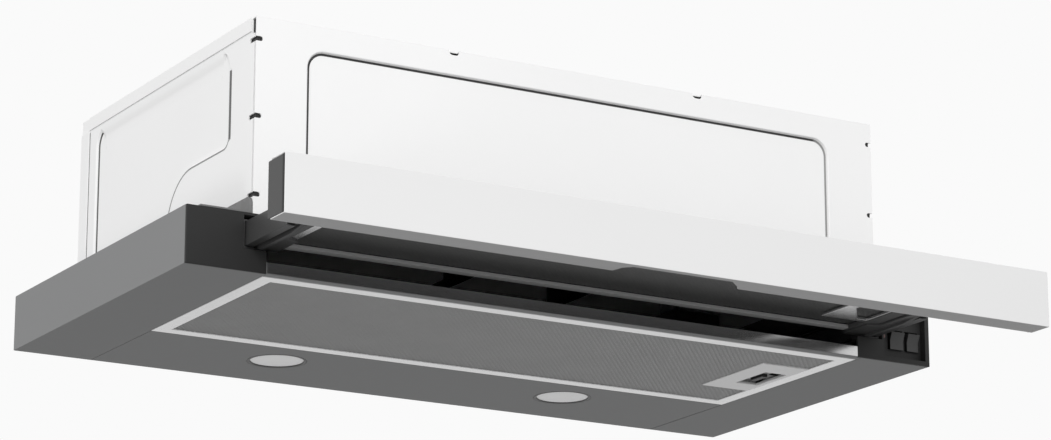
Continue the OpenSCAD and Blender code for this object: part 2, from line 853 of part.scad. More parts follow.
// Border of the drawer's own filter, with the plate and finger slot that it is taken out by
module drawer_filter_frame() color([0.75, 0.76, 0.77]) on_drawer() {
    x = [-drawer_filter_x, drawer_filter_x];
    z = drawer_filter_z;
    difference() {
        along_z(z)
            frame_outline(x, drawer_filter_y, [drawer_border, drawer_border, drawer_border - 1]);
        drawer_pack();
    }
    difference() {
        span(drawer_plate_x, drawer_plate_y, [z[0], z[0] + pack_inset]);
        along_z([z[0] - over, z[0] + pack_inset + over]) polygon(drawer_slot);
    }
}
// Space that the mesh layers fill, which runs a little way into the border all round
module drawer_pack() {
    in = drawer_border - pack_inset;
    span([-drawer_filter_x, drawer_filter_x] + [in, -in], drawer_filter_y + [in, 1 - in],
        drawer_filter_z + [pack_inset, -pack_inset]);
}
module drawer_filter_mesh() color([0.5, 0.51, 0.52]) on_drawer() drawer_pack();

module drawer_top_plate() color([0.6, 0.61, 0.62]) on_drawer()
    span([-arm_x[1], arm_x[1]], [0, top_plate_d], [arm_z[1], arm_z[1] + sheet]);

/* ---- grease filter ---- */

module filter_frame() color([0.78, 0.79, 0.8]) in_hood() {
    x = [-open_x + gap, open_x - gap];
    y = filter_y + [gap, -gap];
    groove = border - 4;
    difference() {
        along_z([0, filter_t]) frame_outline(x, y, [border, border, border]);
        span(x + [groove, -groove], y + [groove, -groove], [2, filter_t - 2]);
        span([x[1] - border - over, open_x], [latch_y - bolt_half - 1, latch_y + bolt_half + 1],
            bolt_z + [-0.2, 0.2]);
    }
    for (h = hook_y)
        span([-open_x - 2.5, x[0]], [h, h + hook_w], [1.3, 1.3 + hook_t]);
}

module filter_mesh() color([0.6, 0.61, 0.62]) in_hood() {
    groove = gap + border - 4;
    z = [2, filter_t - 2];
    difference() {
        span([-open_x + groove, open_x - groove], filter_y + [groove, -groove], z);
        span([latch_box_x[0], open_x], latch_box_y, z + [-over, over]);
    }
}

// Light plate beside the border, with the finger slot and the box that guides the slider
module latch_plate() color([0.8, 0.81, 0.82]) in_hood() {
    wall = 1.5;
    difference() {
        span(latch_plate_x, latch_plate_y, [0, 2]);
        span(latch_slot_x, latch_slot_y, [-over, 2 + over]);
    }
    difference() {
        span(latch_box_x, latch_box_y, [2, filter_t - 0.5]);
        span(latch_box_x + [wall, over], latch_box_y + [wall, -wall], [1, filter_t - 0.5 - wall]);
    }
}

// Bolt, cross bar that keeps it straight, and the knob that a finger moves in the slot
module latch_slider() color([0.15, 0.15, 0.15]) in_hood() {
    span(bolt_x, [latch_y - bolt_half, latch_y + bolt_half], bolt_z);
    span([bolt_x[0], bolt_x[0] + 10], [latch_y - 14, latch_y + 14], bolt_z);
    span([bolt_x[0] + 2.8, bolt_x[0] + 7.8], [latch_y - 8, latch_y + 8], [0.4, bolt_z[1]]);
}

// Leaf bent in a zigzag between the box's wall and the slider
module latch_spring() color([0.8, 0.8, 0.8]) in_hood() {
    wall_x = latch_box_x[0] + 1.6;
    tip_x = bolt_x[0] - 0.1;
    along_z(bolt_z + [0.2, -0.2])
        translate([0, latch_y])
            polygon([[wall_x, -8], [wall_x + 0.6, -8], [tip_x, -3], [wall_x + 0.7, 2], [tip_x, 7],
                [tip_x - 0.4, 7.4], [wall_x + 0.1, 2], [tip_x - 1.1, -3], [wall_x, -7.4]]);
}

left_side_member();
right_side_member();
front_rail();
back_wall();
base_top_plate();
light_panel();
left_end_block();
control_block();
casing_front();
casing_left();
casing_right();
casing_back();
casing_top();
left_bracket();
right_bracket();
left_outer_rail();
right_outer_rail();
lamp_bezels();
lamp_lenses();
lamp_housings();
led_driver();
left_volute();
right_volute();
plenum();
motor_stator();
motor_bracket();
capacitor();
terminal_box();
cable_gland();
outlet_collar();
damper_pin();
switch_bodies();
pilot_lamp();
screws();
drawer_front();
left_end_cap();
right_end_cap();
drawer_carrier();
grip_insert();
left_arm();
right_arm();
left_inner_rail();
right_inner_rail();
drawer_filter_frame();
drawer_filter_mesh();
drawer_top_plate();
left_mid_rail();
right_mid_rail();
filter_frame();
filter_mesh();
latch_plate();
latch_slider();
latch_spring();
motor_rotor();
left_impeller();
right_impeller();
rear_flap();
front_flap();
speed_rocker();
light_rocker();
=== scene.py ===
import json
import math

import bmesh
import bpy
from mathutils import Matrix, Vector


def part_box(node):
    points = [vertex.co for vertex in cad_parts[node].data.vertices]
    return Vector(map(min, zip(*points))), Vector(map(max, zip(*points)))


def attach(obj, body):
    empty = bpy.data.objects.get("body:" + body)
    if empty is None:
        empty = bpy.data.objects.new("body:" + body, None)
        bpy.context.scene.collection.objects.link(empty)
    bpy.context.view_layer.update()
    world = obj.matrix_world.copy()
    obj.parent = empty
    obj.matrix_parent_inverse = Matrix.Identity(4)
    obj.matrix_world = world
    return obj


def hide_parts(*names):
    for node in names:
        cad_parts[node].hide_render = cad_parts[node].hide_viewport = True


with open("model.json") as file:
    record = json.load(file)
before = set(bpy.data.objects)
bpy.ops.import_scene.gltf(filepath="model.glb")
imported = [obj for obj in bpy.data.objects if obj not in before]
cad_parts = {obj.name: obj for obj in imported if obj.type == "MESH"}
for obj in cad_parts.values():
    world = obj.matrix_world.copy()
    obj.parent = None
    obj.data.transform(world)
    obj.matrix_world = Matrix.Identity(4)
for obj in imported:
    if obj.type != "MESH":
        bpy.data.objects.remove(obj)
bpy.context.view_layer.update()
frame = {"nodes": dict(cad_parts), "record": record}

MM = 0.001
SAME_PLACE = 0.002 * MM     # vertices closer than this are one
MITRE_LEAST = 0.3           # keeps the corner of an offset outline from running far out
SLOTS = {row["node"]: row["material_slot"] for row in frame["record"]["subparts"]}
BODIES = {n: b for b, names in frame["record"]["behaviour"]["bodies"].items() for n in names}
materials = {}


# ---- materials ----

def node(tree, kind, **sockets):
    """A shader node with its input sockets set by name."""
    made = tree.nodes.new(kind)
    for name, value in sockets.items():
        made.inputs[name.replace("_", " ")].default_value = value
    return made


def finish_of(slot, colour, rough, metallic=0.0, grain=900.0, stretch=(1, 1, 1), bump=0.05,
              depth=0.0002, vary=0.08, vary_scale=7.0, rough_vary=0.08, shine=0.5, coat=0.0,
              glow=0.0):
    """Material for a slot: its colour and roughness vary over the piece, and it has a fine grain."""
    made = bpy.data.materials.new(slot)
    made.use_nodes = True
    tree = made.node_tree
    link = tree.links.new
    shader = tree.nodes["Principled BSDF"]
    shader.inputs["Metallic"].default_value = metallic
    shader.inputs["Specular IOR Level"].default_value = shine
    shader.inputs["Coat Weight"].default_value = coat
    if glow:
        shader.inputs["Emission Color"].default_value = (*colour, 1)
        shader.inputs["Emission Strength"].default_value = glow
    place = node(tree, "ShaderNodeTexCoord")
    along = node(tree, "ShaderNodeMapping", Scale=stretch)
    link(place.outputs["Object"], along.inputs["Vector"])

    wide = node(tree, "ShaderNodeTexNoise", Scale=vary_scale, Detail=4.0, Roughness=0.6)
    link(place.outputs["Object"], wide.inputs["Vector"])
    tint = node(tree, "ShaderNodeMix")
    tint.data_type = "RGBA"
    tint.inputs["A"].default_value = (*[c * (1 - vary) for c in colour], 1)
    tint.inputs["B"].default_value = (*[min(1, c * (1 + vary)) for c in colour], 1)
    link(wide.outputs["Fac"], tint.inputs["Factor"])
    link(tint.outputs["Result"], shader.inputs["Base Color"])

    fine = node(tree, "ShaderNodeTexNoise", Scale=grain, Detail=3.0, Roughness=0.55)
    link(along.outputs["Vector"], fine.inputs["Vector"])
    spread = node(tree, "ShaderNodeMapRange", To_Min=rough - rough_vary, To_Max=rough + rough_vary)
    link(fine.outputs["Fac"], spread.inputs["Value"])
    link(spread.outputs["Result"], shader.inputs["Roughness"])
    relief = node(tree, "ShaderNodeBump", Strength=bump, Distance=depth)
    link(fine.outputs["Fac"], relief.inputs["Height"])
    link(relief.outputs["Normal"], shader.inputs["Normal"])
    materials[slot] = made
    return made


def spangle(made, colour, size=160.0, contrast=0.1):
    """Adds the crystal pattern of zinc to a material: flat patches that differ a little in tone."""
    tree = made.node_tree
    shader = tree.nodes["Principled BSDF"]
    cells = node(tree, "ShaderNodeTexVoronoi", Scale=size)
    place = node(tree, "ShaderNodeTexCoord")
    tree.links.new(place.outputs["Object"], cells.inputs["Vector"])
    tone = node(tree, "ShaderNodeSeparateColor")
    tree.links.new(cells.outputs["Color"], tone.inputs["Color"])
    mix = node(tree, "ShaderNodeMix")
    mix.data_type = "RGBA"
    mix.inputs["A"].default_value = (*[c * (1 - contrast) for c in colour], 1)
    mix.inputs["B"].default_value = (*[min(1, c * (1 + contrast)) for c in colour], 1)
    tree.links.new(tone.outputs["Red"], mix.inputs["Factor"])
    tree.links.new(mix.outputs["Result"], shader.inputs["Base Color"])


def grey(level, warm=0.0):
    """A neutral grey, a touch towards blue where warm is below 0."""
    return (level * (1 + warm), level, level * (1 - warm))


def make_materials():
    paint = {"grain": 1400.0, "bump": 0.12, "depth": 0.00012, "vary": 0.02, "rough_vary": 0.05}
    brushed = {"grain": 26.0, "stretch": (1, 60, 60), "bump": 0.06, "depth": 0.00004, "vary": 0.012}
    plastic = {"grain": 2600.0, "bump": 0.30, "depth": 0.00010, "vary": 0.06, "rough_vary": 0.06}
    finish_of("casing_white", grey(0.86), 0.42, **paint)
    # Painted shade for the faces of deep lines pressed in the casing, dark and half dark.
    finish_of("crease_painted_shade", grey(0.13), 0.60, **paint)
    finish_of("crease_painted_half_shade", grey(0.36), 0.60, **paint)
    finish_of("base_grey", grey(0.202, -0.01), 0.48, shine=0.3, **paint)
    finish_of("front_lip", grey(0.62), 0.16, metallic=1.0, grain=30.0, stretch=(1, 40, 40), bump=0.03,
              depth=0.00003, vary=0.05, rough_vary=0.03)
    finish_of("panel_steel", grey(0.76), 0.50, shine=0.35, **brushed)
    # Painted shade for the panel's underside.
    finish_of("panel_shade", grey(0.47), 0.50, shine=0.3, **brushed)
    finish_of("block_plastic", grey(0.020), 0.55, shine=0.3, **plastic)
    finish_of("cap_grey", grey(0.066), 0.50, shine=0.3, **plastic)
    finish_of("carrier_grey", grey(0.36), 0.46, **paint)
    finish_of("arm_grey", grey(0.060), 0.46, shine=0.35, **paint)
    spangle(finish_of("bracket_zinc", grey(0.17), 0.46, metallic=0.2, **paint), grey(0.17))
    finish_of("rail_zinc", grey(0.075), 0.42, metallic=0.3, grain=40.0, stretch=(50, 1, 50), bump=0.1,
              depth=0.00008, vary=0.05)
    finish_of("lamp_ring", grey(0.05), 0.40, **plastic)
    finish_of("lamp_glass", grey(0.82), 0.38, grain=700.0, bump=0.25, depth=0.0002, vary=0.02,
              glow=0.12)
    finish_of("lamp_can", grey(0.40), 0.45, metallic=0.8, bump=0.2, vary=0.08)
    finish_of("driver_case", grey(0.75), 0.40, **plastic)
    finish_of("blower_plastic", grey(0.020), 0.50, shine=0.3, **plastic)
    finish_of("wheel_plastic", grey(0.05), 0.46, **plastic)
    finish_of("motor_steel", grey(0.20), 0.44, metallic=0.6, grain=30.0, stretch=(80, 1, 1), bump=0.3,
              depth=0.0003, vary=0.1)
    # Near black: painted shade for the straps seen through the gap into the casing, and for the
    # casing's seam pieces.
    finish_of("strap_black", grey(0.020), 0.50, shine=0.3, **paint)
    finish_of("shaft_steel", grey(0.55), 0.26, metallic=1.0, grain=60.0, stretch=(40, 1, 1), bump=0.08)
    finish_of("capacitor_shell", grey(0.55), 0.34, metallic=0.9, bump=0.05, vary=0.04)
    finish_of("terminal_plastic", grey(0.04), 0.48, **plastic)
    finish_of("collar_plastic", grey(0.042), 0.44, **plastic)
    finish_of("switch_black", grey(0.012), 0.50, shine=0.3, **plastic)
    finish_of("rocker_grey", grey(0.034), 0.42, **plastic)
    finish_of("pilot_red", (0.10, 0.03, 0.03), 0.22, coat=0.4, bump=0.05, vary=0.05)
    finish_of("screw_zinc", grey(0.55), 0.30, metallic=0.95, bump=0.1, vary=0.08, vary_scale=300)
    finish_of("filter_edge", grey(0.84), 0.24, metallic=0.9, grain=50.0, stretch=(1, 8, 8), bump=0.05,
              depth=0.00006, vary=0.04, vary_scale=14.0, rough_vary=0.05)
    finish_of("filter_wire", grey(0.50), 0.42, metallic=0.6, grain=1500.0, bump=0.2, vary=0.08,
              vary_scale=24.0)
    finish_of("drawer_wire", grey(0.19), 0.42, metallic=0.6, grain=1500.0, bump=0.2, vary=0.08,
              vary_scale=24.0)
    finish_of("latch_pale", grey(0.78), 0.36, metallic=0.5, grain=500.0, bump=0.06, vary=0.03)
    finish_of("latch_black", grey(0.016), 0.40, shine=0.3, **plastic)
    finish_of("spring_steel", grey(0.55), 0.28, metallic=1.0, bump=0.06, vary=0.06)
    spangle(finish_of("drawer_top_zinc", grey(0.26), 0.46, metallic=0.3, **paint), grey(0.26))


# ---- mesh helpers ----

def piece(name, bm, body, slot, stands_for=(), smooth=35.0):
    """Turns a bmesh into a piece that rides on a body, with its slot's material."""
    bmesh.ops.recalc_face_normals(bm, faces=bm.faces)
    mesh = bpy.data.meshes.new(name)
    bm.to_mesh(mesh)
    bm.free()
    for face in mesh.polygons:
        face.use_smooth = True
    mesh.set_sharp_from_angle(angle=math.radians(smooth))
    made = bpy.data.objects.new(name, mesh)
    bpy.context.scene.collection.objects.link(made)
    mesh.materials.append(materials[slot])
    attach(made, body)
    if stands_for:
        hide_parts(*stands_for)
    return made


def settled(made):
    """Applies a piece's modifiers, so that its mesh is final."""
    bpy.context.view_layer.update()
    graph = bpy.context.evaluated_depsgraph_get()
    final = bpy.data.meshes.new_from_object(made.evaluated_get(graph))
    made.modifiers.clear()
    made.data = final
    return made


def even_shading(made, angle=50):
    """Shades large faces flat and leaves the blend to the small faces that round their edges."""
    made.data.set_sharp_from_angle(angle=math.radians(angle))
    weights = made.modifiers.new("normals", "WEIGHTED_NORMAL")
    weights.keep_sharp = True
    weights.weight = 60
    return settled(made)


def rounded_copy(name, radius, segments=2):
    """Stands for a CAD node with the same shape, its edges rounded as folded or moulded ones are."""
    bm = bmesh.new()
    bm.from_mesh(frame["nodes"][name].data)
    bmesh.ops.remove_doubles(bm, verts=bm.verts, dist=SAME_PLACE)
    bmesh.ops.dissolve_limit(bm, angle_limit=math.radians(0.5), verts=bm.verts, edges=bm.edges)
    made = piece(name + "_skin", bm, BODIES[name], SLOTS[name], [name])
    bevel = made.modifiers.new("edges", "BEVEL")
    bevel.width = radius
    bevel.segments = segments
    bevel.limit_method = "ANGLE"
    bevel.angle_limit = math.radians(40)
    bevel.use_clamp_overlap = True
    return even_shading(settled(made))


def second_finish(made, finish, chosen):
    """Gives another material to the faces of a piece that chosen(centre, normal) picks out."""
    made.data.materials.append(materials[finish])
    for face in made.data.polygons:
        if chosen(face.center, face.normal):
            face.material_index = len(made.data.materials) - 1


def bar(bm, x, y, z):
    """A closed box between the given places, each axis as (low, high)."""
    made = bmesh.ops.create_cube(bm, size=1)
    for vert in made["verts"]:
        vert.co = [low + (high - low) * (c + 0.5) for (low, high), c in zip((x, y, z), vert.co)]


def soft_bars(name, bars, radius, body, slot):
    """One piece made of boxes with rounded edges."""
    bm = bmesh.new()
    for x, y, z in bars:
        bar(bm, x, y, z)
    made = piece(name, bm, body, slot)
    bevel = made.modifiers.new("edges", "BEVEL")
    bevel.width = radius
    bevel.segments = 3
    return even_shading(settled(made))


def ring_of(bm, centre, r, z, steps=64):
    """A ring of vertices round an upright axis."""
    turns = [2 * math.pi * i / steps for i in range(steps)]
    return [bm.verts.new((centre.x + r * math.cos(t), centre.y + r * math.sin(t), z)) for t in turns]


def skin(bm, rings, close_ends=True):
    """Joins rings of vertices into one skin, and closes its two ends."""
    for a, b in zip(rings, rings[1:]):
        count = len(a)
        for i in range(count):
            bm.faces.new((a[i], a[(i + 1) % count], b[(i + 1) % count], b[i]))
    if close_ends:
        bm.faces.new(rings[0])
        bm.faces.new(rings[-1][::-1])


def arc(cx, cy, r, a, b, steps):
    """Points of an arc from angle a to angle b, in degrees."""
    turns = [math.radians(a + (b - a) * i / steps) for i in range(steps + 1)]
    return [(cx + r * math.cos(t), cy + r * math.sin(t)) for t in turns]


def offset_loop(points, d):
    """A closed outline moved outwards by d along its own corner normals. It runs anticlockwise."""
    out = []
    count = len(points)
    for i in range(count):
        before, here, after = (Vector(points[(i + k) % count]) for k in (-1, 0, 1))
        e1 = (here - before).normalized()
        e2 = (after - here).normalized()
        n1 = Vector((e1.y, -e1.x))
        n2 = Vector((e2.y, -e2.x))
        mid = (n1 + n2).normalized()
        out.append(tuple(here + mid * (d / max(MITRE_LEAST, mid.dot(n1)))))
    return out


def anticlockwise(points):
    """The same outline, turned round if it runs clockwise."""
    area = sum(a[0] * b[1] - b[0] * a[1] for a, b in zip(points, points[1:] + points[:1]))
    return points if area > 0 else points[::-1]


# ---- casing: panels with a pressed field ----

# Sections across the step round a pressed field, from outside to inside. RIM_LINE is the line along
# its top, in shares of that line's width and depth. PRESS_PROFILE is the step and CREASE the line along
# its foot, both as the place in millimetres and the share of their depth.
RIM_LINE = [(1.0, 0.0), (0.8, 1.0), (0.2, 1.0), (0.0, 0.0)]
PRESS_PROFILE = [(1.3, 0.0), (0.9, 0.06), (0.6, 0.28), (0.3, 0.72), (0.1, 0.92), (-0.1, 1.0)]
CREASE = [(-0.40, 0.9), (-0.8, 1.0), (-1.2, 0.9), (-1.55, 0.0)]
RIM_GAP = 0.1
RIM_LEAST = 0.4

# The depth in millimetres from which the faces of a line get the half dark or the dark painted shade
CREASE_PALE, CREASE_DARK = 0.5, 1.1
RIM_PALE, RIM_DARK = 0.3, 0.5


def pressed_panel(name, outline, field, depth, crease, rim_line, spread, put, sheet, body, slot):
    """A sheet with a pressed field. outline and field are in millimetres in the sheet's own plane, and
    put(u, v, w) gives the place in metres of a point w millimetres behind the outer face.
    crease(u, v) is how deep the line along the foot of the step is there, rim_line(u, v) is how wide
    and deep the one along its top is, and spread(u, v) is how much wider than usual the step runs.
    Faces along a deep crease or rim line get painted shade, dark or half dark by how deep it is."""
    bm = bmesh.new()
    field = anticlockwise(field)
    rim = [bm.verts.new(put(u, v, 0)) for u, v in anticlockwise(outline)]
    edges = [bm.edges.new((rim[i], rim[(i + 1) % len(rim)])) for i in range(len(rim))]
    count = len(field)
    wide = [spread(*at) for at in field]
    marks = [rim_line(*at) for at in field]
    top = PRESS_PROFILE[0][0]
    loops = []

    def add_loop(grows, depths):
        moved = [offset_loop(field, grow)[i] for i, grow in enumerate(grows)]
        loops.append([bm.verts.new(put(u, v, w)) for (u, v), w in zip(moved, depths)])

    for share, deep in RIM_LINE:
        add_loop([top + RIM_GAP + share * max(RIM_LEAST, marks[i][0]) for i in range(count)],
                 [deep * marks[i][1] for i in range(count)])
    for grow, share in PRESS_PROFILE:
        add_loop([top - (top - grow) * wide[i] for i in range(count)], [share * depth] * count)
    for grow, share in CREASE:
        add_loop([top - (top - grow) * wide[i] for i in range(count)],
                 [depth + share * crease(*at) for at in field])
    edges += [bm.edges.new((loops[0][i], loops[0][(i + 1) % count])) for i in range(count)]
    bmesh.ops.triangle_fill(bm, use_beauty=True, use_dissolve=False, edges=edges)
    for level, (a, b) in enumerate(zip(loops, loops[1:])):
        for i in range(count):
            after = (i + 1) % count
            face = bm.faces.new((a[i], a[after], b[after], b[i]))
            deep = min(crease(*field[i]), crease(*field[after]))
            drawn = min(marks[i][1], marks[after][1])
            # Faces deep in the crease or the rim line get painted shade, dark or half dark.
            if level >= len(RIM_LINE) + len(PRESS_PROFILE) - 2 and deep > CREASE_PALE:
                face.material_index = 1 if deep > CREASE_DARK else 2
            elif level < len(RIM_LINE) - 1 and drawn > RIM_PALE:
                face.material_index = 1 if drawn > RIM_DARK else 2
    bm.faces.new(loops[-1])
    made = piece(name + "_panel", bm, body, slot, [name], smooth=60)
    # The second and third materials are painted shade, dark and half dark.
    made.data.materials.append(materials["crease_painted_shade"])
    made.data.materials.append(materials["crease_painted_half_shade"])
    thick = made.modifiers.new("sheet", "SOLIDIFY")
    thick.thickness = sheet
    thick.offset = -1
    return made


def notched_edge(start, end, notches, deep, half):
    """Points up a straight edge from start to end, with round-ended notches cut to one side."""
    x = start[0]
    rise = 1 if end[1] > start[1] else -1
    side = 1 if deep > 0 else -1
    tip = x + deep - side * half
    points = [start]
    for z in sorted(notches, reverse=rise < 0):
        turn = (-90 * rise, 90 * rise) if side > 0 else (180 + 90 * rise, 180 - 90 * rise)
        points += [(x, z - rise * half), *arc(tip, z, half, *turn, 8), (x, z + rise * half)]
    return points + [end]


def settle_inwards(made, outward):
    """Gives a pressed sheet its thickness on the inner side, whichever way its faces were wound."""
    facing = sum((face.normal * face.area for face in made.data.polygons), Vector())
    if facing.dot(outward) < 0:
        made.data.flip_normals()
    even_shading(settled(made))


# The casing's sheets, in millimetres: their thickness, the notches at the folds with their depth on the
# front and on the sides, the seam at the front corners and its wider top, and the lap at the back
SHEET = 1.0
FOLD_NOTCHES = (53.5, 108.0, 162.0)
NOTCH_HALF = 1.7
NOTCH_FRONT = 5.0
NOTCH_SIDE = 7.0
SEAM = 1.7
SEAM_STEP, SEAM_STEP_TALL = 3.4, 10.5
LAP_WIDE = 14.0
DEEP_CREASE = 1.7
SIDE_PRESS = 0.8            # share of the CAD's depth that the side's field is pressed to


def no_line(u, v):
    return 0, 0


def same_width(u, v):
    return 1


def top_slot(at, z, half=4.0, r=2.6):
    """Outline of a shallow round-cornered slot in the top edge at height z, around the place at."""
    inset = half - r
    return [(at + half, z), *arc(at + inset, z, r, 0, -90, 5)[1:],
            *arc(at - inset, z, r, -90, -180, 5)[:-1], (at - half, z)]


def make_casing_front():
    """The front sheet: one wide pressed field, notches at both folds and two slots in the top edge."""
    lo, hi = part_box("casing_front")
    x, z0, z1 = hi.x / MM, lo.z / MM, hi.z / MM
    half, foot, top, r = 212.5, 52.0, 159.5, 12.0
    right, left, upper, lower = half - r, r - half, top - r, foot + r
    field = (arc(right, upper, r, 0, 90, 10) + arc(left, upper, r, 90, 180, 10)
             + arc(left, lower, r, 180, 270, 10) + arc(right, lower, r, 270, 360, 10))
    outline = (notched_edge((-x, z1), (-x, z0), FOLD_NOTCHES, NOTCH_FRONT, NOTCH_HALF)
               + notched_edge((x, z0), (x, z1), FOLD_NOTCHES, -NOTCH_FRONT, NOTCH_HALF)
               + top_slot(100, z1) + top_slot(-100, z1))

    def front(u, v, w):
        return (u * MM, lo.y + w * MM, v * MM)

    # Dark painted shade in the crease left of 203 mm and along the top, half painted shade down the
    # right end.
    def crease(u, v):
        return DEEP_CREASE if u < 203 else 0.8

    made = pressed_panel("casing_front", outline, field, (hi.y - lo.y) / MM - SHEET, crease, no_line,
                         same_width, front, SHEET * MM, "housing", "casing_white")
    settle_inwards(made, Vector((0, -1, 0)))


def make_casing_side(name, side):
    """A side sheet: its field steps back at the lower front, a flange closes its front edge and a lap
    its back one. The flange and a thin strip along the lap are near black: painted shade in the seams.
    """
    lo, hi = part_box(name)
    z0, z1 = lo.z / MM, hi.z / MM
    outer = lo.x if side < 0 else hi.x
    base = lo.y / MM - 1
    fore, back, inner = 41.5, 263.0, 139.5
    foot, shoulder, top = 46.0, 97.5, 165.5
    small, wide, heel, ankle = 6.0, 14.0, 10.0, 5.0
    sweep = inner - 98.0
    field = (arc(fore + small, shoulder + small, small, 270, 180, 6) + [(fore, 106), (fore, 150)]
             + arc(fore + wide, top - wide, wide, 180, 90, 10)
             + arc(back - wide, top - wide, wide, 90, 0, 10)
             + arc(back - heel, foot + heel, heel, 0, -90, 8)
             + arc(inner + ankle, foot + ankle, ankle, 270, 180, 6)
             + arc(inner - sweep, shoulder - sweep, sweep, 0, 90, 14))
    field = [(u + base, v) for u, v in field]
    edge = lo.y / MM + SEAM
    outline = ([(edge + SEAM_STEP, z1), (edge + SEAM_STEP, z1 - SEAM_STEP_TALL)]
               + notched_edge((edge, z1 - SEAM_STEP_TALL), (edge, z0), FOLD_NOTCHES, NOTCH_SIDE,
                              NOTCH_HALF)
               + [(hi.y / MM, z0), (hi.y / MM, z1)])

    def flank(u, v, w):
        return (outer - side * w * MM, u * MM, v * MM)

    # Dark painted shade in the crease along the back of the field; elsewhere it is too shallow to get
    # any.
    def crease(u, v):
        return DEEP_CREASE if u - base > 249 and v < 163 else 0.1

    def rim_line(u, v):
        """A wide line down the fore edge, and one along the sweep that grows wider downwards, both with
        painted shade: dark down the fore edge and on the sweep below 70 mm, half dark above.
        """
        ahead = u - base
        if ahead < 42:
            return (3.4, 0.6) if v < 151 else (0, 0)
        if v > 120 or ahead > 145:
            return 0, 0
        return 1.2 + max(0, (95 - v) / 30), 0.6 if v < 70 else 0.4

    def spread(u, v):
        """The step runs out softly along the top of the field, and a little at its back."""
        if 50 < u - base < 255:
            return 1 + 6 * min(1, max(0, (v - 157) / 6))
        return 1.5 if u - base > 249 else 1

    press = ((hi.x - lo.x) / MM - SHEET) * SIDE_PRESS
    made = pressed_panel(name, outline, field, press, crease, rim_line, spread, flank,
                         SHEET * MM, "housing", "casing_white")
    settle_inwards(made, Vector((side, 0, 0)))
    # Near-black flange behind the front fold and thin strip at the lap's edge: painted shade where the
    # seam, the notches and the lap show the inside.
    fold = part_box("casing_front")[0].y
    reach = sorted((outer - side * 1.4 * MM, outer - side * 10 * MM))
    flange = (reach, (fold + 1.3 * MM, fold + 10 * MM), (lo.z + MM, hi.z - MM))
    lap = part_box("casing_back")[1].y - LAP_WIDE * MM
    proud = sorted((outer + side * 0.03 * MM, outer - side * 0.5 * MM))
    seam = (proud, (lap - 1.0 * MM, lap), (lo.z + 3 * MM, hi.z - 10 * MM))
    soft_bars(name + "_flange", [flange, seam], 0.2 * MM, "housing", "strap_black")


# ---- filters: a layer of expanded metal over a knitted pad ----

# Pitch of the mesh both ways, the strand's section, and the clear edges of the mesh fields
MESH_LONG, MESH_SHORT = 4.0 * MM, 2.4 * MM
STRAND_WIDE, STRAND_THICK = 1.95 * MM, 0.22 * MM
MESH_RIM = 2.2 * MM
PLATE_PLAY = 0.1 * MM
PAD_LUMP = 4 * MM


def expanded_layer(bm, x, y, z):
    """Rows of zigzag strands that meet at their peaks, each a thin ribbon with a ridge along it."""
    (x0, x1), (y0, y1) = x, y
    cols = int((x1 - x0) / (MESH_LONG / 2))
    rows = int((y1 - y0) / MESH_SHORT)
    step_x = (x1 - x0) / cols
    step_y = (y1 - y0) / rows
    half = STRAND_WIDE / 2
    section = [(-half, 0), (half, 0), (0, STRAND_THICK)]
    for j in range(rows):
        rings = []
        for i in range(cols + 1):
            swing = 0.5 if (i + j) % 2 else -0.5
            cy = y0 + (j + 0.5) * step_y + swing * step_y
            cy = min(y1 - half, max(y0 + half, cy))
            cx = x0 + i * step_x
            rings.append([bm.verts.new((cx, cy + dy, z + dz)) for dy, dz in section])
        for a, b in zip(rings, rings[1:]):
            for k in range(3):
                m = (k + 1) % 3
                bm.faces.new((a[k], a[m], b[m], b[k]))
        bm.faces.new(rings[0])
        bm.faces.new(rings[-1][::-1])


def lump_at(i, j):
    """How far a point of the pad is pushed out, from -1 to 1, by two crossed waves."""
    return math.sin(i * 2.1 + j * 0.7) * math.cos(j * 1.9 - i * 0.4)


def knitted_pad(name, x, y, z, body, slot):
    """The pad of knitted metal behind the strands: a thin closed block with a soft, uneven surface."""
    bm = bmesh.new()
    cols, rows = int((x[1] - x[0]) / PAD_LUMP), int((y[1] - y[0]) / PAD_LUMP)
    face_swell, back_swell = 0.12 * MM, 0.5 * MM

    def sheet_of(level, swell):
        grid = []
        for j in range(rows + 1):
            line = []
            for i in range(cols + 1):
                inside = 0 < i < cols and 0 < j < rows
                lump = lump_at(i, j) if inside else 0
                line.append(bm.verts.new((x[0] + (x[1] - x[0]) * i / cols,
                                          y[0] + (y[1] - y[0]) * j / rows, level + swell * lump)))
            grid.append(line)
        for j in range(rows):
            for i in range(cols):
                bm.faces.new((grid[j][i], grid[j][i + 1], grid[j + 1][i + 1], grid[j + 1][i]))
        return grid

    under, above = sheet_of(z[0], face_swell), sheet_of(z[1] - back_swell, back_swell)
    around = ([(0, i) for i in range(cols)] + [(j, cols) for j in range(rows)]
              + [(rows, i) for i in range(cols, 0, -1)] + [(j, 0) for j in range(rows, 0, -1)])
    for (j, i), (m, n) in zip(around, around[1:] + around[:1]):
        bm.faces.new((under[j][i], under[m][n], above[m][n], above[j][i]))
    return piece(name, bm, body, slot, smooth=80)


